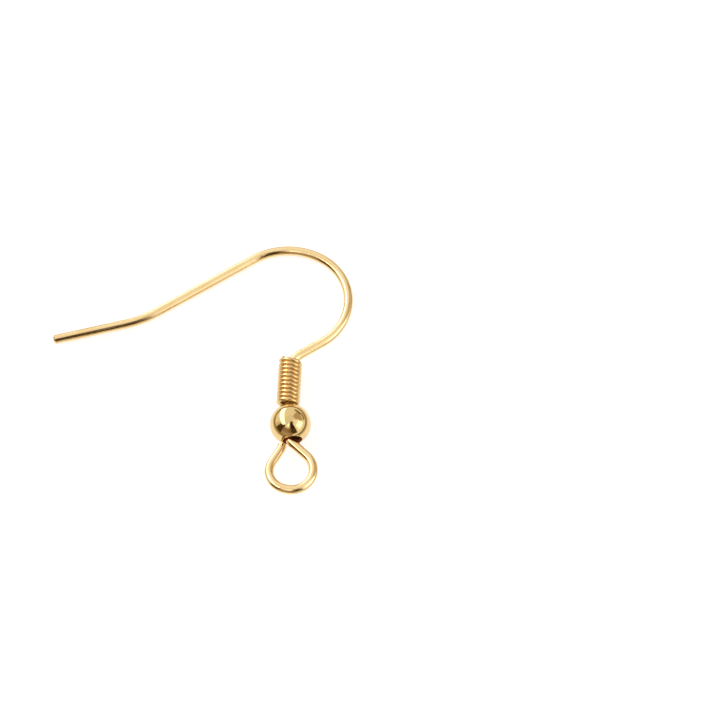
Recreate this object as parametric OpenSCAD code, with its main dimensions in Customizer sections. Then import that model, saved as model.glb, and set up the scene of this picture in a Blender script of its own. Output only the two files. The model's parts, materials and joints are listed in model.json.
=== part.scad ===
// An ear wire of the fish-hook kind, lying on a table. One wire makes the free end that
// goes through the ear, the kick, the leg, the bow, the neck, the stem and the eye that a
// drop hangs from. A hollow bead and a close-wound coil are threaded on the stem.
// The wire is bent in its own frame, with the bead's centre at zero, the stem along +Z,
// the neck turning towards +X and the table beyond +Y, and is then laid down as it rests.

/* [Wire] */
// Diameter of the wire
wire_d = 0.7; // [0.5:0.05:0.9]
// Chamfer around the free end
tip_chamfer = 0.1; // [0.05:0.01:0.15]

/* [Hook] */
// Turn of the neck above the coil, in degrees
neck_turn = 60; // [50:1:70]
// Centre-line radius of the neck
neck_r = 1.6; // [1.4:0.1:2.4]
// Straight between the neck and the bow
neck_l = 1.85; // [1:0.05:3]
// Turn of the bow's front, in degrees
bow_turn = 120; // [105:1:130]
// Centre-line radius of the bow's front
bow_r = 4.0; // [3.2:0.1:5.5]
// Turn of the bow's crest, in degrees
crest_turn = 60; // [50:1:75]
// Centre-line radius of the bow's crest
crest_r = 4.9; // [3.6:0.1:6.5]
// Straight leg from the crest to the kick
leg_l = 8.2; // [6:0.1:12]
// Outward turn of the kick, in degrees
kick_turn = 18; // [8:1:30]
// Centre-line radius of the kick
kick_r = 7.8; // [3:0.1:10]
// Straight free end beyond the kick
free_l = 5.4; // [3:0.1:8]

/* [Eye] */
// Inside width of the eye
eye_d = 2.4; // [2:0.1:3.4]
// How far inside the bead's lower hole the stem starts to turn aside
flare_inset = 0.27; // [0.15:0.01:0.35]
// Turn of the stem to one side, in degrees
flare_turn = 44; // [40:1:48]
// Centre-line radius of the eye's small turns
flare_r = 0.7; // [0.6:0.05:0.9]
// Straight cheek between the stem and the round of the eye
cheek_l = 1.5; // [1.2:0.05:2]
// Turn of the round up to the closing side, in degrees
round_turn = 148; // [142:1:154]
// Turn of the round on the closing side, in degrees
closing_turn = 106; // [100:1:110]
// Straight cheek on the closing side
closing_cheek_l = 1.3; // [1.1:0.05:1.8]
// How far the closing side leans towards the table, in degrees
closing_lean = 7; // [4:0.5:10]
// Turn of the closing end, up to the bead, in degrees
end_turn = 15; // [5:1:25]

/* [Bead] */
// Diameter of the bead
bead_d = 3.0; // [2.5:0.1:4]
// Wall of the hollow bead
bead_wall = 0.25; // [0.15:0.01:0.4]
// Room between the wire and the bead's holes, all round
bead_play = 0.37; // [0.3:0.01:0.45]
// How far the bead hangs to the neck's side of the stem
bead_shift = 0.05; // [0:0.01:0.08]
// How far the bead tips, its lower hole towards the neck's side, in degrees
bead_lean = 6; // [0:0.5:7]

/* [Coil] */
// Diameter of the coil's wire
coil_wire_d = 0.31; // [0.2:0.01:0.4]
// Number of turns
coil_turns = 10.6; // [6:0.1:14]
// Room between one turn and the next
turn_gap = 0.01; // [0.01:0.005:0.05]
// Room between the wire and the coil's inside, all round
coil_play = 0.2; // [0.12:0.01:0.3]
// Share of its play by which the coil leans on the stem
lean_share = 0.7; // [0:0.05:1]
// Where around the stem the coil's upper end is cut, in degrees
cut_at = -222; // [-230:1:-210]
// How far the cut end springs up
cut_lift = 0.55; // [0.3:0.01:0.6]
// Stretch of the last turn that springs up, in degrees
cut_arc = 80; // [70:1:90]

/* [Clearances] */
// Between the coil and the bead that it sits on
seat_gap = 0.03; // [0.02:0.01:0.1]
// Least room left between the stem and the coil
run_gap = 0.03; // [0.02:0.01:0.05]
// Between the wire's closing end and the bead
end_gap = 0.05; // [0.03:0.01:0.1]

/* [Hidden] */
$fn = 48;

wire_r = wire_d / 2;
bead_r = bead_d / 2;
hole_r = wire_r + bead_play;
rim_z = sqrt(bead_r * bead_r - hole_r * hole_r);
bead_spot = [bead_shift, 0, 0];

// The coil stands on the bead's upper rim, where the rim is highest, and leans as far as its
// share of the play lets it
coil_r = wire_r + coil_play + coil_wire_d / 2;
coil_pitch = coil_wire_d + turn_gap;
coil_l = coil_turns * coil_pitch + coil_wire_d;
coil_lean = asin(2 * lean_share * (coil_play - run_gap) / coil_l);
coil_foot = rim_z * cos(bead_lean) + hole_r * (sin(bead_lean) + sin(coil_lean)) + seat_gap;
coil_middle = coil_foot + coil_l / 2;

// The neck starts to turn inside the coil, as low as the coil's last turn on that side allows
neck_side_l = coil_wire_d + coil_pitch * (coil_turns + cut_at / 360);
neck_room = wire_r + coil_play - run_gap + coil_l / 2 * sin(coil_lean);
neck_cover = sqrt(pow(neck_r - wire_r, 2) - pow(neck_r - neck_room, 2));
stem_top = coil_foot + neck_side_l - neck_cover;
stem_foot = rim_z - flare_inset;

// The bends are a hair thinner than the straights, and each straight tapers into the bends
// at its ends, so that the lengths of the wire cross and make one solid
lap = 0.03;
hair = 0.001;
// Straight between two bends that follow each other
link_l = 0.1;
// What filing takes off the edge of the closing end
burr = 0.02;

// Columns of a bend table, a row for each bend and the straight that follows it
ROLL = 0;
BEND = 1;
RADIUS = 2;
STRAIGHT = 3;

// From the top of the stem to the free end
hook_bends = [
    [0, neck_turn, neck_r, neck_l],
    [0, -bow_turn, bow_r, link_l],
    [0, -crest_turn, crest_r, leg_l],
    [0, kick_turn, kick_r, 0]
];

// From the foot of the stem, around the eye, to the closing end
eye_r = eye_d / 2 + wire_r;
eye_bends = [
    [0, -flare_turn, flare_r, cheek_l],
    [0, round_turn, eye_r, link_l],
    [closing_lean, closing_turn, eye_r, closing_cheek_l],
    [0, -end_turn, flare_r, 0]
];

// A frame is where the wire is, the way it would bend and the way it runs
PLACE = 0;
ACROSS = 1;
ALONG = 2;
hook_start = [[0, 0, stem_top], [1, 0, 0], [0, 0, 1]];
eye_start = [[0, 0, -stem_foot], [-1, 0, 0], [0, 0, -1]];

function rolled(frame, row) = [
    frame[PLACE],
    frame[ACROSS] * cos(row[ROLL]) + cross(frame[ALONG], frame[ACROSS]) * sin(row[ROLL]),
    frame[ALONG]
];
// Where a row's bend has its centre
function bend_centre(frame, row) =
    frame[PLACE] + rolled(frame, row)[ACROSS] * sign(row[BEND]) * row[RADIUS];
// The frame after the first share of a row's bend
function after_bend(frame, row, share = 1) =
    let (
        across = rolled(frame, row)[ACROSS],
        along = frame[ALONG],
        turn = row[BEND] * share,
        new_across = across * cos(turn) - along * sin(turn)
    )
    [
        bend_centre(frame, row) - new_across * sign(row[BEND]) * row[RADIUS],
        new_across,
        across * sin(turn) + along * cos(turn)
    ];
function moved_on(frame, length) = [frame[PLACE] + frame[ALONG] * length, frame[ACROSS], frame[ALONG]];
function after_rows(frame, rows, count) =
    count == 0
        ? frame
        : let (last = rows[count - 1])
            moved_on(after_bend(after_rows(frame, rows, count - 1), last), last[STRAIGHT]);

// The closing end runs on until its face is end_gap from the bead
closing = after_rows(eye_start, eye_bends, len(eye_bends));
to_bead = bead_spot - closing[PLACE];
closing_height = to_bead * closing[ALONG];
closing_offset = norm(to_bead - closing_height * closing[ALONG]);
closing_l = closing_height - sqrt(pow(bead_r + end_gap, 2) - pow(max(0, closing_offset - wire_r), 2));

// The part rests on its bead, its free end and its crest. resting is the direction in the
// wire's plane, square to the line through the free end that touches the crest
free_start = after_rows(hook_start, hook_bends, len(hook_bends));
free_tip = moved_on(free_start, free_l);
crest_centre = bend_centre(after_rows(hook_start, hook_bends, 2), hook_bends[2]);
reach = free_tip[PLACE] - crest_centre;
resting_angle = atan2(reach.z, reach.x) - acos(crest_r / norm(reach));
resting = [cos(resting_angle), sin(resting_angle), 0];
resting_distance = (free_tip[PLACE].x - bead_shift) * resting.x + free_tip[PLACE].z * resting.y;
table_tilt = asin((bead_r - wire_r) / resting_distance);
rest_height = bead_r + bead_shift * resting.x * sin(table_tilt);

// A direction of the wire's frame as it lies on the table, with +Z up
function laid(v) =
    let (
        flat = [v.x, v.z, -v.y],
        slope = flat * resting
    )
    flat
    + resting * (slope * (cos(table_tilt) - 1) + flat.z * sin(table_tilt))
    + [0, 0, flat.z * (cos(table_tilt) - 1) - slope * sin(table_tilt)];

// How far the wire reaches along one axis of the table, on the side that way gives
STATIONS = 24;
wire_stations = concat(
    [for (i = [0 : len(hook_bends) - 1], k = [0 : STATIONS])
        after_bend(after_rows(hook_start, hook_bends, i), hook_bends[i], k / STATIONS)],
    [for (i = [0 : len(eye_bends) - 1], k = [0 : STATIONS])
        after_bend(after_rows(eye_start, eye_bends, i), eye_bends[i], k / STATIONS)],
    [moved_on(free_start, free_l - tip_chamfer)]
);
function reach_at(frame, radius, axis, way) =
    way * laid(frame[PLACE])[axis] + radius * sqrt(1 - pow(laid(frame[ALONG])[axis], 2));
function wire_reach(axis, way) = max(concat(
    [reach_at(free_tip, wire_r - tip_chamfer, axis, way)],
    [for (s = wire_stations) reach_at(s, wire_r, axis, way)]
));
middle_x = (wire_reach(0, 1) - wire_reach(0, -1)) / 2;
middle_y = (wire_reach(1, 1) - wire_reach(1, -1)) / 2;

module as_it_lies() {
    translate([-middle_x, -middle_y, rest_height])
        rotate(a = table_tilt, v = [-resting.y, resting.x, 0])
        rotate([-90, 0, 0])
        children();
}

module at(frame) {
    beside = cross(frame[ALONG], frame[ACROSS]);
    multmatrix([
        for (i = [0 : 2]) [frame[ACROSS][i], beside[i], frame[ALONG][i], frame[PLACE][i]]
    ])
        children();
}

// One bend of the wire, starting along +Z
module bend(row) {
    rotate([0, 0, row[ROLL] + (row[BEND] < 0 ? 180 : 0)])
        translate([row[RADIUS], 0, 0])
        rotate([90, 0, 180])
        rotate_extrude(angle = abs(row[BEND]))
        translate([row[RADIUS], 0])
        circle(d = wire_d - 2 * hair);
}

// A straight between two bends
module straight(length) {
    rotate_extrude() polygon([
        [0, -lap],
        [wire_r - 2 * hair, -lap],
        [wire_r, 0],
        [wire_r, length],
        [wire_r - 2 * hair, length + lap],
        [0, length + lap]
    ]);
}

// A straight after the last bend, with a chamfer around its cut face
module last_straight(length, chamfer) {
    rotate_extrude() polygon([
        [0, -lap],
        [wire_r - 2 * hair, -lap],
        [wire_r, 0],
        [wire_r, length - chamfer],
        [wire_r - chamfer, length],
        [0, length]
    ]);
}

module bent_wire(start, rows) {
    for (i = [0 : len(rows) - 1]) {
        length = rows[i][STRAIGHT];
        at(after_rows(start, rows, i)) bend(rows[i]);
        if (length > 0) {
            at(after_rows(start, rows, i + 1)) translate([0, 0, -length]) straight(length);
        }
    }
}

module ear_hook() {
    color("goldenrod") as_it_lies() {
        translate([0, 0, -stem_foot]) straight(stem_foot + stem_top);
        bent_wire(hook_start, hook_bends);
        at(free_start) last_straight(free_l, tip_chamfer);
        bent_wire(eye_start, eye_bends);
        at(closing) last_straight(closing_l, burr);
    }
}

module bead() {
    color("gold") as_it_lies() translate(bead_spot) rotate([0, -bead_lean, 0]) difference() {
        sphere(r = bead_r);
        sphere(r = bead_r - bead_wall);
        cylinder(h = 2 * bead_d, r = hole_r, center = true);
    }
}

// The coil's wire, as rings of points around a left-handed helix
COIL_SIDES = 10;
STEPS_A_TURN = 20;
coil_steps = round(coil_turns * STEPS_A_TURN);
function coil_angle(turn) = cut_at + 360 * (coil_turns - turn);
// From 0 where the cut end starts to spring up, to 1 at its face
function sprung(turn) = max(0, 1 - (coil_turns - turn) * 360 / cut_arc);
function coil_spot(turn) = [
    coil_r * cos(coil_angle(turn)),
    coil_r * sin(coil_angle(turn)),
    coil_wire_d / 2 + coil_pitch * turn + cut_lift * pow(sprung(turn), 2)
];
function coil_way(turn) =
    let (
        round_about = 2 * PI * coil_r,
        rise = coil_pitch + 2 * cut_lift * sprung(turn) * 360 / cut_arc,
        way = [round_about * sin(coil_angle(turn)), -round_about * cos(coil_angle(turn)), rise]
    )
    way / norm(way);
function coil_ring(turn) =
    let (
        out = [cos(coil_angle(turn)), sin(coil_angle(turn)), 0],
        up = cross(coil_way(turn), out)
    )
    [
        for (k = [0 : COIL_SIDES - 1])
            let (a = 360 * k / COIL_SIDES)
            coil_spot(turn) + coil_wire_d / 2 * (out * cos(a) + up * sin(a))
    ];

module coil() {
    rings = [for (i = [0 : coil_steps]) each coil_ring(coil_turns * i / coil_steps)];
    sides = [
        for (i = [0 : coil_steps - 1], k = [0 : COIL_SIDES - 1])
            let (
                a = i * COIL_SIDES + k,
                b = i * COIL_SIDES + (k + 1) % COIL_SIDES
            )
            [a, b, b + COIL_SIDES, a + COIL_SIDES]
    ];
    lower_cut = [for (k = [COIL_SIDES - 1 : -1 : 0]) k];
    upper_cut = [for (k = [0 : COIL_SIDES - 1]) coil_steps * COIL_SIDES + k];
    color("orange") as_it_lies()
        translate([0, 0, coil_middle])
        rotate([0, coil_lean, 0])
        translate([0, 0, -coil_l / 2])
        polyhedron(points = rings, faces = concat(sides, [lower_cut, upper_cut]));
}

ear_hook();
bead();
coil();
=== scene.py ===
# %% [markdown]
# # A gold-plated ear wire, bent in Blender
# The object is one round wire, about as thick as a pencil lead, bent into a hook that goes
# through the ear. A hollow bead and a small close-wound coil are threaded on its stem, and
# below them the wire closes into an eye that a drop hangs from.
# The solid model comes first. It says how big everything is and where it lies, so it is
# loaded before anything is made, and each piece below is fitted to it.

# %% Load the solid model
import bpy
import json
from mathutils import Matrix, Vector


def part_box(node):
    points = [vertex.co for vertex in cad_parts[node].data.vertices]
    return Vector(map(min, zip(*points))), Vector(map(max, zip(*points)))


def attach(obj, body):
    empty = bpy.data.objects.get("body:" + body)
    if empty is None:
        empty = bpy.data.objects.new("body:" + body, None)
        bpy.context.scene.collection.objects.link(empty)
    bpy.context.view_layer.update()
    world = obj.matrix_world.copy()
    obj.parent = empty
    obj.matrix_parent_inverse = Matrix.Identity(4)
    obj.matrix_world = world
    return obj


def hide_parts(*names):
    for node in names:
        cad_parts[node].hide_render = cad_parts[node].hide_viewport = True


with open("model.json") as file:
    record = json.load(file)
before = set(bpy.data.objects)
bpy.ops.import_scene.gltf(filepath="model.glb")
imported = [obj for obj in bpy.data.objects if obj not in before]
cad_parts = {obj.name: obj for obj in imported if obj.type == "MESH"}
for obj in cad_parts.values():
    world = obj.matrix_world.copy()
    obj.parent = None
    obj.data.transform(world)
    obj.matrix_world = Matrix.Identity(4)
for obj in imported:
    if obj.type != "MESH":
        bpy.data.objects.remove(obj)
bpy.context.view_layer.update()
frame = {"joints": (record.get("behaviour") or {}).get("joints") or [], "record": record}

# %% [markdown]
# ## Tools for the whole lesson
# Blender counts in metres, and a maker of ear wires counts in millimetres. Every piece here
# is modelled with one Blender unit as one millimetre, because operators such as merge and
# bevel have thresholds that suit sizes near one, and it is scaled down when it is laid in
# its place.

# %% Tools
import json
from math import asin, atan2, ceil, copysign, cos, degrees, hypot, pi, radians, sin, sqrt, tan

import bpy
from mathutils import Matrix, Vector

MM = 0.001


def start_clean():
    """Leaves edit mode and selects nothing, so that the next operator meets only its own piece."""
    if bpy.context.object and bpy.context.object.mode != "OBJECT":
        bpy.ops.object.mode_set(mode="OBJECT")
    bpy.ops.object.select_all(action="DESELECT")


start_clean()

# %% [markdown]
# ## Where the wire's own frame lies
# The wire is easiest to bend upright in a frame of its own: zero on the stem beside the
# bead's middle, the stem along +Z, the neck turning towards +X and the table on the +Y side.
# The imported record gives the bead's middle and axis and the eye's axis. The bead hangs a
# little askew on the stem, so its lean and shift are taken off to find the stem. The matrix
# also turns millimetres into metres.

# %% The wire's frame
joints = {joint["name"]: joint for joint in frame["joints"]}
mounts = {mount["name"]: mount for mount in frame["record"]["mounts"]}
BEAD_LEAN = radians(6)   # the lower hole is towards the neck
BEAD_SHIFT = 0.05        # mm, towards the neck
table_way = -Vector(mounts["eye"]["axis"])
stem_way = Matrix.Rotation(BEAD_LEAN, 3, table_way) @ Vector(joints["bead_spin"]["axis"])
neck_way = table_way.cross(stem_way).normalized()
table_way = stem_way.cross(neck_way).normalized()
WIRE_FRAME = Matrix((neck_way, table_way, stem_way)).transposed().to_4x4()
WIRE_FRAME.translation = Vector(joints["bead_spin"]["pos_m"]) - BEAD_SHIFT * MM * neck_way
WIRE_FRAME = WIRE_FRAME @ Matrix.Scale(MM, 4)
print("the stem leans", round(degrees(asin(-stem_way.z)), 2), "degrees down to its crest")

# %% [markdown]
# ## A wire that grows from its end
# A real wire is fed through the pliers, and each bend starts where the last one ended. The
# same way works in edit mode: a ring of points is the wire's open end, an extrusion makes a
# straight, and a spin about a centre beside the wire makes a bend.
# Three things are remembered: where the end is, the way it runs (along) and the way it would
# bend (across). Each ring also notes how far along the wire it is, for the finish later on.

# %% Start a wire
def ring_frame(place, across, along):
    """The matrix that carries a flat ring to a place, with its face along the wire."""
    turned = Matrix((across, along.cross(across), along)).transposed().to_4x4()
    turned.translation = place
    return turned


def start_wire(name, radius, sides, place, across, along):
    """Adds the first ring of a wire and opens it in edit mode."""
    start_clean()
    turned = ring_frame(place, across, along)
    bpy.ops.mesh.primitive_circle_add(
        vertices=sides, radius=radius, fill_type="NOTHING",
        location=place, rotation=turned.to_euler())
    piece = bpy.context.object
    piece.name = piece.data.name = name
    bpy.ops.object.transform_apply(location=True, rotation=True, scale=True)
    inverse = turned.inverted()
    section = [(inverse @ vertex.co).xy for vertex in piece.data.vertices]
    bpy.ops.object.mode_set(mode="EDIT")
    bpy.ops.mesh.select_mode(type="VERT")
    bpy.ops.mesh.select_all(action="SELECT")
    return {"piece": piece, "radius": radius, "section": section, "lengths": [0.0],
            "last_length": 0.0, "place": place, "across": across, "along": along, "way": 1}


def note_rings(wire, length, count):
    """Notes the wire's length at each of the rings that a step has added."""
    before = wire["last_length"]
    wire["lengths"] += [before + wire["way"] * length * (k + 1) / count for k in range(count)]
    wire["last_length"] = wire["lengths"][-1]


# %% [markdown]
# A straight is one extrusion, cut into short stretches so that the shading has rings to hold
# on to. With no window open, the spin operator turns the opposite way to the right-hand
# rule, so its angle is negated.

# %% Straights and bends
STRETCH = 0.6    # longest stretch of a straight between two rings
BEND_STEP = 3.0  # degrees between two rings of a bend


def straight_on(wire, length):
    """Extrudes the open end straight on, in equal stretches."""
    count = max(1, ceil(length / STRETCH))
    step = wire["along"] * (length / count)
    for _ in range(count):
        bpy.ops.mesh.extrude_region_move(TRANSFORM_OT_translate={"value": step})
    wire["place"] = wire["place"] + wire["along"] * length
    note_rings(wire, length, count)


def bend_on(wire, turn, radius, roll=0.0):
    """Bends towards across, or away from it where turn is negative. Roll turns across first."""
    along = wire["along"]
    across = wire["across"] * cos(radians(roll)) + along.cross(wire["across"]) * sin(radians(roll))
    centre = wire["place"] + across * copysign(radius, turn)
    axis = along.cross(across)
    count = ceil(abs(turn) / BEND_STEP)
    bpy.ops.mesh.spin(
        steps=count, dupli=False, angle=-radians(turn), center=centre, axis=axis)
    turned = Matrix.Rotation(radians(turn), 3, axis)
    wire["place"] = centre + turned @ (wire["place"] - centre)
    wire["across"], wire["along"] = turned @ across, turned @ along
    note_rings(wire, radians(abs(turn)) * radius, count)


def chamfer_on(wire, length):
    """One last short stretch that draws in by its own length."""
    step = wire["along"] * length
    bpy.ops.mesh.extrude_region_move(TRANSFORM_OT_translate={"value": step})
    wire["place"] = wire["place"] + step
    share = 1 - length / wire["radius"]
    bpy.ops.transform.resize(value=(share,) * 3, center_override=wire["place"])
    note_rings(wire, length, 1)


# %% [markdown]
# The other end of the same wire is open too. To bend the eye, the first ring is selected
# again and the wire grows the other way from it.

# %% The other end
def from_the_start(wire, place, across, along):
    """Selects the first ring, so that the wire grows the other way from there."""
    bpy.ops.mesh.select_all(action="DESELECT")
    bpy.ops.object.mode_set(mode="OBJECT")
    for vertex in wire["piece"].data.vertices[:len(wire["section"])]:
        vertex.select = True
    bpy.ops.object.mode_set(mode="EDIT")
    wire.update(place=place, across=across, along=along, way=-1, last_length=0.0)


# %% [markdown]
# A finished wire keeps an attribute called run: for each point, where it is on the round
# section, and how far along the wire. Drawing lines, polish and plating follow the wire by
# it, however the wire is bent, with no seam as a UV map would have.

# %% Finish a piece
SMOOTH_BELOW = radians(32)


def keep_attribute(piece, name, values):
    """Keeps one vector for each point of a piece."""
    attribute = piece.data.attributes.new(name, "FLOAT_VECTOR", "POINT")
    attribute.data.foreach_set("vector", [number for value in values for number in value])


def note_run(wire):
    """Leaves edit mode and keeps the run of a finished wire."""
    bpy.ops.object.mode_set(mode="OBJECT")
    keep_attribute(wire["piece"], "run", [
        (x, y, length) for length in wire["lengths"] for x, y in wire["section"]])


def lay_down(piece, placing):
    """Points the faces outwards, and lays the piece in its place with its own place at zero."""
    start_clean()
    piece.select_set(True)
    bpy.context.view_layer.objects.active = piece
    bpy.ops.object.mode_set(mode="EDIT")
    bpy.ops.mesh.select_all(action="SELECT")
    bpy.ops.mesh.normals_make_consistent(inside=False)
    bpy.ops.object.mode_set(mode="OBJECT")
    bpy.ops.object.shade_smooth_by_angle(angle=SMOOTH_BELOW)
    piece.matrix_world = placing
    bpy.ops.object.transform_apply(location=True, rotation=True, scale=True)
    low = [min(vertex.co[k] for vertex in piece.data.vertices) for k in range(3)]
    high = [max(vertex.co[k] for vertex in piece.data.vertices) for k in range(3)]
    print(piece.name, len(piece.data.polygons), "faces, box in mm",
          [round(x / MM, 3) for x in low], [round(x / MM, 3) for x in high])


# %% [markdown]
# ## The ear wire
# One 0.7 mm wire makes everything but the bead and the coil. It starts at the foot of the
# stem, inside the bead, and grows up: the neck leans forward out of the coil, the bow goes
# over the lobe in two radii, the leg runs back behind the ear, and a slight kick turns the
# free end out so that it finds the hole. The free end is filed to a small chamfer, so that
# it doesn't scratch. Lengths and radii are in millimetres and turns in degrees.

# %% Sizes of the wire
WIRE_R = 0.35
WIRE_SIDES = 40
STEM_FOOT = 1.0459    # below the bead's middle
STEM_TOP = 4.1655     # above it
NECK_TURN, NECK_R, NECK_L = 60, 1.6, 1.85
BOW_TURN, BOW_R = 120, 4.0
CREST_TURN, CREST_R = 60, 4.9
LEG_L = 8.2
KICK_TURN, KICK_R = 18, 7.8
FREE_L = 5.4
TIP_CHAMFER = 0.1
JOIN_L = 0.1          # the short straight between two bends that turn the same way
UP, DOWN = Vector((0, 0, 1)), Vector((0, 0, -1))
TO_NECK, FROM_NECK = Vector((1, 0, 0)), Vector((-1, 0, 0))

# %% Stem, neck, bow, leg and free end
ear_wire = start_wire("bent_wire", WIRE_R, WIRE_SIDES, DOWN * STEM_FOOT, TO_NECK, UP)
straight_on(ear_wire, STEM_FOOT + STEM_TOP)
bend_on(ear_wire, NECK_TURN, NECK_R)
straight_on(ear_wire, NECK_L)
bend_on(ear_wire, -BOW_TURN, BOW_R)
straight_on(ear_wire, JOIN_L)
bend_on(ear_wire, -CREST_TURN, CREST_R)
straight_on(ear_wire, LEG_L)
bend_on(ear_wire, KICK_TURN, KICK_R)
straight_on(ear_wire, FREE_L - TIP_CHAMFER)
chamfer_on(ear_wire, TIP_CHAMFER)
bpy.ops.mesh.edge_face_add()
print("wire from the bead to the tip, mm:", round(ear_wire["last_length"] - STEM_FOOT, 1))

# %% [markdown]
# ### The eye
# Below the bead the stem turns aside, runs down one cheek and round, and comes back up the
# other cheek to the bead. Its end stops just short of the bead, and leans a little towards
# the table, as a wire does that was bent round by hand pliers. That small gap lets a drop be
# hooked in. The cut end keeps a narrow filed edge.

# %% Sizes of the eye
EYE_R = 1.55
FLARE_TURN, FLARE_R = 44, 0.7       # where the stem turns aside
CHEEK_L = 1.5
ROUND_TURN, CLOSING_TURN = 148, 106
CLOSING_LEAN = 7                    # towards the table
CLOSING_CHEEK_L = 1.3
END_TURN = 15
END_L = 0.1497                      # the last straight, up to the cut
BURR = 0.02                         # the filed edge of the cut

# %% Eye
from_the_start(ear_wire, DOWN * STEM_FOOT, FROM_NECK, DOWN)
bend_on(ear_wire, -FLARE_TURN, FLARE_R)
straight_on(ear_wire, CHEEK_L)
bend_on(ear_wire, ROUND_TURN, EYE_R)
straight_on(ear_wire, JOIN_L)
bend_on(ear_wire, CLOSING_TURN, EYE_R, roll=CLOSING_LEAN)
straight_on(ear_wire, CLOSING_CHEEK_L)
bend_on(ear_wire, -END_TURN, FLARE_R)
straight_on(ear_wire, END_L - BURR)
chamfer_on(ear_wire, BURR)
bpy.ops.mesh.edge_face_add()
print("the eye ends at", [round(x, 3) for x in ear_wire["place"]], "mm in the wire's frame")
note_run(ear_wire)
lay_down(ear_wire["piece"], WIRE_FRAME)

# %% [markdown]
# ## The coil
# The coil is a 0.31 mm wire wound left-handed on a rod that is a little thicker than the
# stem, then cut off and slipped on. Its turns lie against each other. A round section could
# be swept along a curve, but the Screw modifier is made for this: it turns and lifts one ring
# in a single step. The ring is tilted by the angle at which the wire climbs, or the turns
# would come out too thin.

# %% Sizes of the coil
COIL_WIRE_R = 0.155
COIL_SIDES = 20
COIL_R = 0.705
COIL_PITCH = 0.32
COIL_TURNS = 10.6
CUT_AT = -222.0        # degrees around the stem, the upper end
CUT_ARC = 80.0         # degrees of the last turn that spring up
CUT_LIFT = 0.55        # mm that it springs up
RINGS_A_TURN = 48


def coil_angle(turn):
    """Where round the stem the coil's wire is after so many turns, in radians."""
    return radians(CUT_AT + 360 * (COIL_TURNS - turn))


def coil_spot(turn):
    """The middle of the coil's wire after so many turns, and the way that the wire runs."""
    sprung = max(0.0, 1 - (COIL_TURNS - turn) * 360 / CUT_ARC)
    out = Vector((cos(coil_angle(turn)), sin(coil_angle(turn)), 0))
    rise = COIL_PITCH + 2 * CUT_LIFT * sprung * 360 / CUT_ARC
    way = (out.cross(UP) * (2 * pi * COIL_R) + UP * rise).normalized()
    height = COIL_WIRE_R + COIL_PITCH * turn + CUT_LIFT * sprung ** 2
    return out * COIL_R + UP * height, out, way


# %% Wind the regular turns
regular_turns = COIL_TURNS - CUT_ARC / 360
place, out, way = coil_spot(0)
coil_wire = start_wire("wound_coil", COIL_WIRE_R, COIL_SIDES, place, out, way)
start_clean()
winding = coil_wire["piece"].modifiers.new("winding", "SCREW")
winding.axis = "Z"
winding.angle = -radians(360 * regular_turns)
winding.screw_offset = COIL_PITCH * regular_turns
winding.iterations = 1
winding_rings = round(regular_turns * RINGS_A_TURN)
winding.steps = winding.render_steps = winding_rings
bpy.context.view_layer.objects.active = coil_wire["piece"]
bpy.ops.object.modifier_apply(modifier="winding")
turn_length = hypot(2 * pi * COIL_R, COIL_PITCH)
note_rings(coil_wire, turn_length * regular_turns, winding_rings)
print("rings of the winding:", len(coil_wire["piece"].data.vertices) // COIL_SIDES)

# %% [markdown]
# The cutters leave the last part of a turn standing up a little. That stretch climbs faster
# and faster, so each of its rings is turned to the new way and moved to its spot: a spin of
# one step about the ring's own middle, then a move.

# %% Spring the cut end
SPRUNG_RINGS = 20


def lead_on(wire, place, way):
    """Carries the wire's end to a place, turned by the least that brings it to its new way."""
    turned = wire["along"].rotation_difference(way)
    bpy.ops.mesh.spin(
        steps=1, dupli=False, angle=-turned.angle, center=wire["place"], axis=turned.axis)
    bpy.ops.transform.translate(value=place - wire["place"])
    length = (place - wire["place"]).length
    wire.update(place=place, along=way, across=turned @ wire["across"])
    note_rings(wire, length, 1)


place, out, way = coil_spot(regular_turns)
coil_wire.update(place=place, across=out, along=way)
for vertex in coil_wire["piece"].data.vertices:
    vertex.select = vertex.index >= len(coil_wire["piece"].data.vertices) - COIL_SIDES
bpy.ops.object.mode_set(mode="EDIT")
for k in range(SPRUNG_RINGS):
    place, out, way = coil_spot(regular_turns + (k + 1) / SPRUNG_RINGS * CUT_ARC / 360)
    lead_on(coil_wire, place, way)
bpy.ops.mesh.edge_face_add()
bpy.ops.mesh.select_all(action="DESELECT")
bpy.ops.object.mode_set(mode="OBJECT")
for vertex in coil_wire["piece"].data.vertices[:COIL_SIDES]:
    vertex.select = True
bpy.ops.object.mode_set(mode="EDIT")
bpy.ops.mesh.edge_face_add()
note_run(coil_wire)

# %% [markdown]
# The coil stands on the bead's upper rim and is a little loose on the stem, so it leans as
# far as its play lets it. The record's joint for the coil has its middle and its axis.

# %% Lean the coil on the stem
COIL_L = COIL_TURNS * COIL_PITCH + 2 * COIL_WIRE_R
coil_way = Vector(joints["coil_spin"]["axis"])
coil_lean = atan2(coil_way.dot(neck_way), coil_way.dot(stem_way))
coil_middle = WIRE_FRAME.inverted() @ Vector(joints["coil_spin"]["pos_m"])
COIL_FRAME = (WIRE_FRAME @ Matrix.Translation(coil_middle)
              @ Matrix.Rotation(coil_lean, 4, "Y") @ Matrix.Translation(DOWN * COIL_L / 2))
lay_down(coil_wire["piece"], COIL_FRAME)
print("the coil leans", round(degrees(coil_lean), 2), "degrees, its foot is",
      round(coil_middle.z - COIL_L / 2, 3), "mm above the bead's middle")

# %% [markdown]
# ## The bead
# Beads like this are pressed as a shell from thin sheet and polished until they mirror the
# room. Two spheres make it, one for the outside of the sheet and one for the inside. Where
# the holes are, both lose their poles, so that one can look in and see the far wall.

# %% Two shells with open poles
BEAD_R = 1.5
BEAD_WALL = 0.25
HOLE_R = 0.72
BEAD_SIDES = 128


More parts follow.
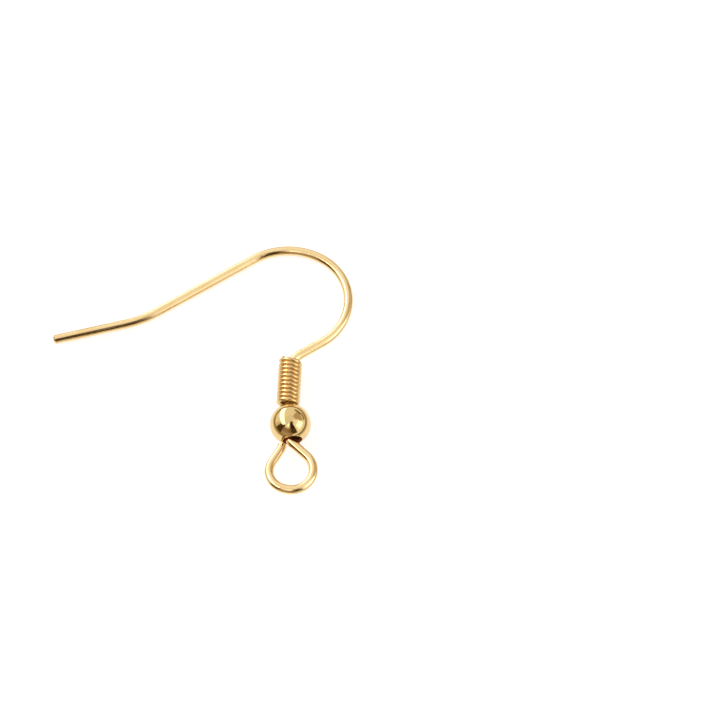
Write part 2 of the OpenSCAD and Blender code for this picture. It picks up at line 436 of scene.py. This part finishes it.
def open_sphere(radius):
    """A sphere without the two caps that stand over the holes."""
    start_clean()
    bpy.ops.mesh.primitive_uv_sphere_add(
        segments=BEAD_SIDES, ring_count=BEAD_SIDES // 2, radius=radius)
    bpy.ops.object.mode_set(mode="EDIT")
    rim = sqrt(radius ** 2 - HOLE_R ** 2)
    for pole in (UP, DOWN):
        bpy.ops.mesh.select_all(action="SELECT")
        bpy.ops.mesh.bisect(plane_co=pole * rim, plane_no=pole, clear_outer=True, threshold=1e-5)
    bpy.ops.object.mode_set(mode="OBJECT")
    return bpy.context.object, rim


lining, inner_rim = open_sphere(BEAD_R - BEAD_WALL)
bead, outer_rim = open_sphere(BEAD_R)
bead.name = bead.data.name = "hollow_bead"
lining.select_set(True)
bpy.ops.object.join()
print("rims of the holes, mm from the middle:", round(inner_rim, 3), round(outer_rim, 3))

# %% [markdown]
# A band of faces from the outer to the inner rim closes each hole's side. The press leaves
# the outer edge of the hole a little rounded, and that round edge catches the light.

# %% Select edges by their place
ON_THE_HOLE = 0.01    # mm


def select_edges(piece, chosen):
    """Selects the edges whose two ends both pass the test, and returns how many."""
    start_clean()
    bpy.context.view_layer.objects.active = piece
    piece.select_set(True)
    bpy.ops.object.mode_set(mode="EDIT")
    bpy.ops.mesh.select_mode(type="EDGE")
    bpy.ops.mesh.select_all(action="DESELECT")
    bpy.ops.object.mode_set(mode="OBJECT")
    points = piece.data.vertices
    for edge in piece.data.edges:
        edge.select = all(chosen(points[index].co) for index in edge.vertices)
    count = sum(edge.select for edge in piece.data.edges)
    bpy.ops.object.mode_set(mode="EDIT")
    return count


def on_the_hole(point):
    """Says whether a point is as far from the bead's axis as the edge of a hole."""
    return abs(point.xy.length - HOLE_R) < ON_THE_HOLE


# %% Line the holes
for pole in (UP, DOWN):
    count = select_edges(bead, lambda point: on_the_hole(point) and point.dot(pole) > 0)
    bpy.ops.mesh.bridge_edge_loops()
    print("edges bridged:", count)
bpy.ops.mesh.select_all(action="SELECT")
bpy.ops.mesh.normals_make_consistent(inside=False)

# %% Round the outer edges of the holes
RIM_ROUND = 0.03
print("rim edges:", select_edges(
    bead, lambda point: on_the_hole(point) and abs(abs(point.z) - outer_rim) < ON_THE_HOLE))
bpy.ops.mesh.bevel(offset=RIM_ROUND, segments=4, profile=0.5, affect="EDGES")
bpy.ops.object.mode_set(mode="OBJECT")

# %% [markdown]
# A bead has no length to run along, so its attribute run is each point's place in the bead's
# own frame. The faces of the lining and of the holes' sides get painted shade later on, a dull
# dark reddish brown. They are noted before the bead is laid on the stem, while their distance
# from its middle and its axis still tells them apart.

# %% Note the inside and lay the bead down
HOLE_SLACK = 0.002    # mm


def is_inside(point):
    """Says whether a point is on the lining or on the side of a hole."""
    return point.length < BEAD_R - BEAD_WALL / 2 or point.xy.length < HOLE_R + HOLE_SLACK


corners = [vertex.co.copy() for vertex in bead.data.vertices]
keep_attribute(bead, "run", corners)
inside_faces = [face.index for face in bead.data.polygons
                if all(is_inside(corners[index]) for index in face.vertices)]
lay_down(bead, WIRE_FRAME @ Matrix.Translation(TO_NECK * BEAD_SHIFT)
         @ Matrix.Rotation(-BEAD_LEAN, 4, "Y"))
print("faces of the inside:", len(inside_faces))

# %% [markdown]
# ## Finishes that more than one piece shares
# All three pieces are plated in one bath, so they share what plating and handling leave
# behind. Each effect is a node group, built once and placed in each material with its own
# values. The groups give out colours, masks and heights only, and the shader stays in the
# material. Sockets are set by name, or by number, as where several of a node's sockets
# share a name.

# %% Node helpers
def add_node(tree, kind, inputs=(), **settings):
    """Adds a node, sets its properties, and sets or links its inputs by name or number."""
    node = tree.nodes.new(kind)
    for name, value in settings.items():
        setattr(node, name, value)
    for name, value in dict(inputs).items():
        if isinstance(value, bpy.types.NodeSocket):
            tree.links.new(value, node.inputs[name])
        else:
            node.inputs[name].default_value = value
    return node


def new_group(name, inputs, outputs):
    """A node group with its sockets, given as name: (kind, value) in and name: kind out."""
    group = bpy.data.node_groups.new(name, "ShaderNodeTree")
    for title, (kind, value) in inputs.items():
        socket = group.interface.new_socket(title, in_out="INPUT", socket_type=kind)
        if value is not None:
            socket.default_value = value
    for title, kind in outputs.items():
        group.interface.new_socket(title, in_out="OUTPUT", socket_type=kind)
    return (group, group.nodes.new("NodeGroupInput").outputs,
            group.nodes.new("NodeGroupOutput").inputs)


NUMBER, COLOUR, VECTOR = "NodeSocketFloat", "NodeSocketColor", "NodeSocketVector"

# %% [markdown]
# ### Plating tone
# Gold from a bath is never quite one colour. It is a touch redder where the layer is thin,
# and paler where it is thick, in soft clouds that are wider than the wire.

# %% Plating tone
tone, ins, outs = new_group(
    "Plating tone",
    {"Run": (VECTOR, None), "Gold": (COLOUR, (0.95, 0.65, 0.3, 1)),
     "Thin gold": (COLOUR, (0.9, 0.55, 0.25, 1)), "Cloud size": (NUMBER, 2.0),
     "Amount": (NUMBER, 0.5)},
    {"Color": COLOUR})
closer = add_node(tone, "ShaderNodeMath", {0: 1.0, 1: ins["Cloud size"]}, operation="DIVIDE")
clouds = add_node(tone, "ShaderNodeTexNoise", {
    "Vector": ins["Run"], "Scale": closer.outputs[0], "Detail": 3.0, "Roughness": 0.55})
cloud = add_node(tone, "ShaderNodeMapRange", {
    "Value": clouds.outputs["Fac"], "From Min": 0.35, "From Max": 0.65},
    interpolation_type="SMOOTHSTEP")
share = add_node(tone, "ShaderNodeMath", {
    0: cloud.outputs["Result"], 1: ins["Amount"]}, operation="MULTIPLY")
mixed = add_node(tone, "ShaderNodeMix", {
    "Factor": share.outputs[0], 6: ins["Gold"], 7: ins["Thin gold"]}, data_type="RGBA")
tone.links.new(mixed.outputs[2], outs["Color"])

# %% [markdown]
# ### Drawing lines
# Wire is pulled through a die, which leaves hair-fine lines along its length. They can
# hardly be seen one by one from arm's length, but they break the highlights into streaks
# along the wire. A noise that is far longer along the run than across it draws them. On the
# bead it is the other way round, and so the same group draws the faint rings that polishing
# leaves.

# %% Drawing lines
drawing, ins, outs = new_group(
    "Drawing lines",
    {"Run": (VECTOR, None), "Line width": (NUMBER, 0.03), "Line length": (NUMBER, 3.0)},
    {"Height": NUMBER, "Dull": NUMBER})
per_width, per_length = (
    add_node(drawing, "ShaderNodeMath", {0: 1.0, 1: ins[title]}, operation="DIVIDE").outputs[0]
    for title in ("Line width", "Line length"))
squeeze = add_node(drawing, "ShaderNodeCombineXYZ", {
    "X": per_width, "Y": per_width, "Z": per_length})
stretched = add_node(drawing, "ShaderNodeVectorMath", {
    0: ins["Run"], 1: squeeze.outputs[0]}, operation="MULTIPLY")
lines = add_node(drawing, "ShaderNodeTexNoise", {
    "Vector": stretched.outputs[0], "Scale": 1.0, "Detail": 4.0, "Roughness": 0.6})
dull = add_node(drawing, "ShaderNodeMapRange", {
    "Value": lines.outputs["Fac"], "From Min": 0.45, "From Max": 0.7})
drawing.links.new(lines.outputs["Fac"], outs["Height"])
drawing.links.new(dull.outputs["Result"], outs["Dull"])

# %% [markdown]
# ### Handling marks
# Bending jaws, other findings in the bag and fingers leave a few short scuffs and specks.
# A texture of small cells, pushed about by a noise, makes them: only the cells whose random
# number is high are kept, so that most of the surface stays bright.

# %% Handling marks
marks, ins, outs = new_group(
    "Handling marks",
    {"Run": (VECTOR, None), "Mark size": (NUMBER, 0.2), "Share marked": (NUMBER, 0.15)},
    {"Height": NUMBER, "Dull": NUMBER})
closer = add_node(marks, "ShaderNodeMath", {0: 1.0, 1: ins["Mark size"]}, operation="DIVIDE")
wander = add_node(marks, "ShaderNodeTexNoise", {
    "Vector": ins["Run"], "Scale": closer.outputs[0], "Detail": 2.0})
pushed = add_node(marks, "ShaderNodeVectorMath", {
    0: wander.outputs["Color"], 1: (0.25, 0.25, 0.25), 2: ins["Run"]}, operation="MULTIPLY_ADD")
cells = add_node(marks, "ShaderNodeTexVoronoi", {
    "Vector": pushed.outputs[0], "Scale": closer.outputs[0]}, feature="F1")
chosen = add_node(marks, "ShaderNodeSeparateColor", {"Color": cells.outputs["Color"]})
lowest = add_node(marks, "ShaderNodeMath", {0: 1.0, 1: ins["Share marked"]}, operation="SUBTRACT")
kept = add_node(marks, "ShaderNodeMath", {
    0: chosen.outputs[0], 1: lowest.outputs[0]}, operation="GREATER_THAN")
dent = add_node(marks, "ShaderNodeMapRange", {
    "Value": cells.outputs["Distance"], "From Min": 0.0, "From Max": 0.35,
    "To Min": 1.0, "To Max": 0.0})
scuff = add_node(marks, "ShaderNodeMath", {
    0: dent.outputs["Result"], 1: kept.outputs[0]}, operation="MULTIPLY")
depth = add_node(marks, "ShaderNodeMath", {0: 0.0, 1: scuff.outputs[0]}, operation="SUBTRACT")
marks.links.new(depth.outputs[0], outs["Height"])
marks.links.new(scuff.outputs[0], outs["Dull"])
print("shared effects:", [group.name for group in bpy.data.node_groups])

# %% [markdown]
# ## The three finishes
# The materials differ in how the metal was worked. The wire is drawn and then tumbled, so
# it is bright but streaked and scuffed. The thin wire of the coil is duller, and its lines
# are finer. The bead is polished after pressing and mirrors the room. All are metal all
# through, so the colour of the gold is the colour of its reflections, and the coil and the
# bead are of a deeper gold than the wire. The wire and the bead also wear a thin clear
# lacquer against tarnish, which lays a sharper and paler reflection over the golden one.

# %% A plated metal
WIRE_GOLD = (0.98, 0.75, 0.39, 1)
WIRE_THIN_GOLD = (0.95, 0.67, 0.31, 1)
COIL_GOLD = (0.85, 0.60, 0.27, 1)
COIL_THIN_GOLD = (0.80, 0.52, 0.21, 1)
BEAD_GOLD = (0.80, 0.585, 0.255, 1)
BEAD_THIN_GOLD = (0.76, 0.53, 0.21, 1)
LACQUER_ROUGHNESS = 0.08


def plated(name, gold, thin_gold, roughness, dullest, line_width, line_length, line_depth,
           mark_size, share_marked, mark_depth, cloud_size, cloud_amount, lacquer):
    """One plated finish. Widths, lengths, depths and sizes are in millimetres."""
    material = bpy.data.materials.new(name)
    material.use_nodes = True
    tree = material.node_tree
    shader = tree.nodes["Principled BSDF"]
    shader.inputs["Metallic"].default_value = 1.0
    shader.inputs["Coat Weight"].default_value = lacquer
    shader.inputs["Coat Roughness"].default_value = LACQUER_ROUGHNESS
    run = add_node(tree, "ShaderNodeAttribute", attribute_name="run").outputs["Vector"]
    tone_node = add_node(tree, "ShaderNodeGroup", node_tree=tone)
    lines_node = add_node(tree, "ShaderNodeGroup", node_tree=drawing)
    marks_node = add_node(tree, "ShaderNodeGroup", node_tree=marks)
    for node, values in (
            (tone_node, {"Gold": gold, "Thin gold": thin_gold, "Cloud size": cloud_size,
                         "Amount": cloud_amount}),
            (lines_node, {"Line width": line_width, "Line length": line_length}),
            (marks_node, {"Mark size": mark_size, "Share marked": share_marked})):
        tree.links.new(run, node.inputs["Run"])
        for title, value in values.items():
            node.inputs[title].default_value = value
    duller = add_node(tree, "ShaderNodeMath", {
        0: lines_node.outputs["Dull"], 1: marks_node.outputs["Dull"]}, operation="ADD")
    rough = add_node(tree, "ShaderNodeMapRange", {
        "Value": duller.outputs[0], "To Min": roughness, "To Max": dullest})
    lined = add_node(tree, "ShaderNodeBump", {
        "Height": lines_node.outputs["Height"], "Distance": line_depth * MM, "Strength": 1.0})
    scuffed = add_node(tree, "ShaderNodeBump", {
        "Height": marks_node.outputs["Height"], "Distance": mark_depth * MM, "Strength": 1.0,
        "Normal": lined.outputs["Normal"]})
    tree.links.new(tone_node.outputs["Color"], shader.inputs["Base Color"])
    tree.links.new(rough.outputs["Result"], shader.inputs["Roughness"])
    tree.links.new(scuffed.outputs["Normal"], shader.inputs["Normal"])
    return material


# %% Wire, coil and bead
wire_finish = plated(
    "drawn_wire", WIRE_GOLD, WIRE_THIN_GOLD, roughness=0.13, dullest=0.32,
    line_width=0.07, line_length=4.0, line_depth=0.0035,
    mark_size=0.18, share_marked=0.18, mark_depth=0.005, cloud_size=2.0, cloud_amount=0.8,
    lacquer=0.5)
coil_finish = plated(
    "wound_wire", COIL_GOLD, COIL_THIN_GOLD, roughness=0.27, dullest=0.39,
    line_width=0.03, line_length=3.0, line_depth=0.0008,
    mark_size=0.2, share_marked=0.08, mark_depth=0.0008, cloud_size=1.2, cloud_amount=0.6,
    lacquer=0.0)
bead_finish = plated(
    "polished_bead", BEAD_GOLD, BEAD_THIN_GOLD, roughness=0.08, dullest=0.14,
    line_width=0.4, line_length=0.02, line_depth=0.00005,
    mark_size=0.12, share_marked=0.03, mark_depth=0.0002, cloud_size=1.5, cloud_amount=0.35,
    lacquer=0.3)
print("plated finishes:", [wire_finish.name, coil_finish.name, bead_finish.name])

# %% [markdown]
# The inside of the bead and the sides of its holes are painted a dull, dark reddish brown.
# This is painted shade: it stands in for the dark inside of the holes and the reddish light
# that the gold bounces in there.

# %% Painted shade inside the bead
# Painted shade: these dark reddish browns stand in for the shade inside the bead.
INSIDE_SHADE_BROWN = (0.45, 0.12, 0.055, 1)
INSIDE_SHADE_DARK = (0.22, 0.06, 0.035, 1)
inside_shade_finish = bpy.data.materials.new("painted_shade_inside")
inside_shade_finish.use_nodes = True
inside_tree = inside_shade_finish.node_tree
inside_shader = inside_tree.nodes["Principled BSDF"]
inside_shader.inputs["Metallic"].default_value = 0.0
inside_shader.inputs["Roughness"].default_value = 0.7
inside_run = add_node(inside_tree, "ShaderNodeAttribute", attribute_name="run")
inside_shade_tone = add_node(inside_tree, "ShaderNodeGroup", {
    "Run": inside_run.outputs["Vector"], "Gold": INSIDE_SHADE_BROWN, "Thin gold": INSIDE_SHADE_DARK,
    "Cloud size": 0.3, "Amount": 1.0}, node_tree=tone)
inside_tree.links.new(inside_shade_tone.outputs["Color"], inside_shader.inputs["Base Color"])
bead.data.materials.append(bead_finish)
bead.data.materials.append(inside_shade_finish)
# The lining and the holes' sides get the painted shade.
for index in inside_faces:
    bead.data.polygons[index].material_index = 1
print("faces with painted shade:", sum(face.material_index for face in bead.data.polygons))

# %% [markdown]
# ## Hand the pieces to the model
# Each piece takes the place of one solid, wears its finish and rides on the body that the
# solid belongs to.

# %% Dress the model
ear_wire["piece"].data.materials.append(wire_finish)
coil_wire["piece"].data.materials.append(coil_finish)
for piece, node, body, slot in (
        (ear_wire["piece"], "ear_hook", "ear_wire", "gold_wire"),
        (coil_wire["piece"], "coil", "coil", "gold_coil"),
        (bead, "bead", "bead", "gold_bead")):
    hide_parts(node)
    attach(piece, body)
    low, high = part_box(node)
    print(piece.name, "stands for", node, "whose box in mm is",
          [round(x / MM, 3) for x in low], [round(x / MM, 3) for x in high])

# %% [markdown]
# ## The table
# Small jewellery is photographed on a lit white sheet, which hides nearly all shadow. The
# sheet here gives off light and reflects some of the tent's, so only the places where the
# metal nearly touches it darken.
# A real sheet ends not far away, and what lies past it is darker. Round metal shows that as
# a fine brown line along its outline. So small a sheet would show its edge in low views, so
# this one is large, and darkens in reflections only, where a ray meets it at a slant. Layer
# Weight says how slanted the ray is, and Light Path says whether it comes from a reflection.

# %% Sheet
SHEET_SIDE = 4.0                       # m
SLANT_FROM, SLANT_TO = 0.58, 0.85      # Layer Weight's Facing, which is 1 at a glancing ray
WHITE_SHEET, PAST_SHEET = (0.45, 0.45, 0.45, 1), (0.32, 0.23, 0.14, 1)
SHEET_GLOW, NO_GLOW = (0.72, 0.72, 0.72, 1), (0.0, 0.0, 0.0, 1)
start_clean()
bpy.ops.mesh.primitive_plane_add(size=SHEET_SIDE, location=(0, 0, 0))
floor = bpy.context.object
floor.name = "lit_sheet"
sheet_finish = bpy.data.materials.new("lit_sheet")
sheet_finish.use_nodes = True
sheet_tree = sheet_finish.node_tree
sheet_shader = sheet_tree.nodes["Principled BSDF"]
sheet_shader.inputs["Roughness"].default_value = 1.0
sheet_shader.inputs["Specular IOR Level"].default_value = 0.0
sheet_shader.inputs["Emission Strength"].default_value = 1.0
slant = add_node(sheet_tree, "ShaderNodeLayerWeight", {"Blend": 0.5})
slanted = add_node(sheet_tree, "ShaderNodeMapRange", {
    "Value": slant.outputs["Facing"], "From Min": SLANT_FROM, "From Max": SLANT_TO})
in_metal = add_node(sheet_tree, "ShaderNodeLightPath").outputs["Is Glossy Ray"]
darkened = add_node(sheet_tree, "ShaderNodeMath", {
    0: slanted.outputs["Result"], 1: in_metal}, operation="MULTIPLY")
for title, near, far in (("Base Color", WHITE_SHEET, PAST_SHEET),
                         ("Emission Color", SHEET_GLOW, NO_GLOW)):
    shade = add_node(sheet_tree, "ShaderNodeMix", {
        "Factor": darkened.outputs[0], 6: near, 7: far}, data_type="RGBA")
    sheet_tree.links.new(shade.outputs[2], sheet_shader.inputs[title])
floor.data.materials.append(sheet_finish)
print("sheet:", SHEET_SIDE, "m square")

# %% [markdown]
# ## The light
# Polished metal shows nothing but the room around it, so the room is the light. Most of it
# is a pale tent. Bright windows in the tent make the crisp highlights, and dark openings in
# it make the brown bands that give round metal its shape. The tent is drawn in the world by
# direction: an azimuth, which is 0 towards the front and grows to the right, and an
# elevation. A panel is a mask that is 1 between its two azimuths and its two elevations, and
# fades out over a soft edge.

# %% One panel of the tent
panel, ins, outs = new_group(
    "Tent panel",
    {"Azimuth": (NUMBER, 0), "Elevation": (NUMBER, 0), "From azimuth": (NUMBER, 0),
     "To azimuth": (NUMBER, 0), "From elevation": (NUMBER, 0), "To elevation": (NUMBER, 0),
     "Edge": (NUMBER, 3.0)},
    {"Mask": NUMBER})
half_in, half_out = (
    add_node(panel, "ShaderNodeMath", {0: ins["Edge"], 1: half}, operation="MULTIPLY").outputs[0]
    for half in (0.5, -0.5))
sides = []
for turn in ("azimuth", "elevation"):
    value = ins[turn.capitalize()]
    for start, finish in ((value, ins["From " + turn]), (ins["To " + turn], value)):
        past = add_node(panel, "ShaderNodeMath", {0: start, 1: finish}, operation="SUBTRACT")
        soft = add_node(panel, "ShaderNodeMapRange", {
            "Value": past.outputs[0], "From Min": half_out, "From Max": half_in},
            interpolation_type="SMOOTHSTEP")
        sides.append(soft.outputs["Result"])
mask = sides[0]
for side in sides[1:]:
    mask = add_node(panel, "ShaderNodeMath", {0: mask, 1: side}, operation="MULTIPLY").outputs[0]
panel.links.new(mask, outs["Mask"])

# %% Direction of each ray, in degrees
world = bpy.data.worlds.new("tent")
bpy.context.scene.world = world
world.use_nodes = True
sky = world.node_tree
sky.nodes.clear()
direction = add_node(sky, "ShaderNodeSeparateXYZ", {
    0: add_node(sky, "ShaderNodeTexCoord").outputs["Generated"]})
to_front = add_node(sky, "ShaderNodeMath", {
    0: direction.outputs["Y"], 1: -1.0}, operation="MULTIPLY")
around = add_node(sky, "ShaderNodeMath", {
    0: direction.outputs["X"], 1: to_front.outputs[0]}, operation="ARCTAN2")
upward = add_node(sky, "ShaderNodeMath", {0: direction.outputs["Z"]}, operation="ARCSINE")
azimuth, elevation = (
    add_node(sky, "ShaderNodeMath", {0: node.outputs[0]}, operation="DEGREES").outputs[0]
    for node in (around, upward))

# %% [markdown]
# Each row below is one panel: its azimuths, its elevations, how soft its edge is and how
# bright it is, where 1 is the white of the sheet. A later row covers an earlier one.

# %% Panels of the tent
TENT = 0.98    # brightness of the cloth where no panel lies
PANELS = (
    # azimuth from, to   elevation from, to   edge  brightness
    (-180, 180, 60, 90, 8, 0.90),     # ceiling
    (-94, -74, -5, 60, 8, 0.75),      # left wall
    (98, 150, 20, 62, 10, 0.55),      # right wall
    (104, 134, 4, 15, 4, 0.32),       # fold of the right wall
    (130, 162, 11, 23, 4, 0.22),      # fold towards the back
    (14, 100, -5, 20, 6, 1.0),        # right wall, low
    (-80, -46, -5, 52, 5, 0.08),      # doorway on the left
    (-48, 10, -5, 44, 7, 0.34),       # under the camera
    (-46, -4, -5, 18, 7, 0.48),       # lit part under the camera
    (36, 60, 15, 62, 6, 1.15),        # right wall, middle
    (50, 104, 44, 76, 6, 1.10),       # right wall, high
    (6, 60, 68, 84, 6, 0.22),         # edge of the ceiling
    (-10, 9, 20, 79, 6, 0.24),        # beside the camera
    (5, 36, 20, 79, 6, 0.03),         # where the camera stands
    (9, 36, 10, 42, 6, 0.08),         # the stand below it
    (-32, -11, 55, 72, 3, 2.0),       # narrow window in front
    (-13, -6, 44, 57, 3, 0.8),        # its lower half
    (54, 92, 19, 47, 3, 2.5),         # window on the right
)
brightness = TENT
for start, end, low, high, edge, bright in PANELS:
    part = add_node(sky, "ShaderNodeGroup", {
        "Azimuth": azimuth, "Elevation": elevation}, node_tree=panel)
    for title, value in (("From azimuth", start), ("To azimuth", end), ("From elevation", low),
                         ("To elevation", high), ("Edge", edge)):
        part.inputs[title].default_value = value
    brightness = add_node(sky, "ShaderNodeMix", {
        0: part.outputs["Mask"], 2: brightness, 3: float(bright)}, data_type="FLOAT").outputs[0]
print("panels in the tent:", len(PANELS))

# %% [markdown]
# The dimmer a part of the tent is, the warmer it gets, as wood and shade behind cloth are
# warm. The camera itself sees plain white past the sheet, while the tent lights the sheet
# and shows in the metal.

# %% Tint and output
WARM_TINT, NO_TINT = (1.0, 0.60, 0.25, 1), (1.0, 1.0, 1.0, 1)
WARMEST_AT, NEUTRAL_AT = 0.1, 1.0      # brightness
for_camera = add_node(sky, "ShaderNodeLightPath").outputs["Is Camera Ray"]
shown = add_node(sky, "ShaderNodeMix", {
    0: for_camera, 2: brightness, 3: 1.0}, data_type="FLOAT").outputs[0]
lit = add_node(sky, "ShaderNodeMapRange", {
    "Value": shown, "From Min": WARMEST_AT, "From Max": NEUTRAL_AT})
tint = add_node(sky, "ShaderNodeMix", {
    "Factor": lit.outputs["Result"], 6: WARM_TINT, 7: NO_TINT}, data_type="RGBA")
background = add_node(sky, "ShaderNodeBackground", {"Color": tint.outputs[2], "Strength": shown})
add_node(sky, "ShaderNodeOutputWorld", {"Surface": background.outputs[0]})

# %% [markdown]
# Two long strip lights hang side by side over the back and the left. They are lamps and not
# parts of the tent, because they cross many azimuths on a slant, which a flat lamp does by
# itself. The bead shows them as one bright stripe, a little softer along its middle.

# %% Strip lights
STRIP_FAR = 0.6          # m
STRIP_WIDTH = 0.10
STRIPS_APART = 0.125     # from middle to middle
STRIP_BRIGHT = 2.7       # where 1 is the white of the sheet
strip_start = Vector((-0.31, 0.94, 0.02)).normalized()
strip_end = Vector((-0.57, -0.29, 0.77)).normalized()
strip_way = (strip_start + strip_end).normalized()
along_strip = (strip_end - strip_start).normalized()
strip_length = 2 * STRIP_FAR * tan(strip_start.angle(strip_end) / 2)
for side in (-1, 1):
    spot = strip_way * STRIP_FAR + along_strip.cross(strip_way) * (side * STRIPS_APART / 2)
    bpy.ops.object.light_add(type="AREA", location=spot)
    strip = bpy.context.object
    strip.name = "strip_light"
    strip.data.shape = "RECTANGLE"
    strip.data.size = strip_length
    strip.data.size_y = STRIP_WIDTH
    strip.data.energy = pi * strip_length * STRIP_WIDTH * STRIP_BRIGHT
    strip.matrix_world = ring_frame(spot, along_strip, spot.normalized())
    strip.visible_camera = False
print("strip lights:", round(strip_length, 2), "m long,", round(strip.data.energy, 2), "W each")

# %% [markdown]
# ## The camera
# The ear wire lies in the left half of the picture, seen from high up with a long lens, so
# that near and far parts keep their size. The Standard view shows the sheet's white as white.

# %% Camera
AIM = Vector((11.451, 1.065, 0)) * MM
CAMERA_FAR = 0.350            # m
CAMERA_RISE = radians(68.663)
CAMERA_SWING = radians(-0.966)
SENSOR, LENS = 36, 238.95     # mm
outward = Matrix.Rotation(CAMERA_SWING, 3, "Z") @ Vector((0, -cos(CAMERA_RISE), sin(CAMERA_RISE)))
bpy.ops.object.camera_add(location=AIM + outward * CAMERA_FAR)
camera = bpy.context.object
camera.rotation_euler = (-outward).to_track_quat("-Z", "Y").to_euler()
camera.data.sensor_width = SENSOR
camera.data.lens = LENS
camera.data.clip_start = 0.01
camera.data.clip_end = 20
bpy.context.scene.camera = camera
bpy.context.scene.view_settings.view_transform = "Standard"
print("the camera looks down at", round(degrees(CAMERA_RISE), 1), "degrees")
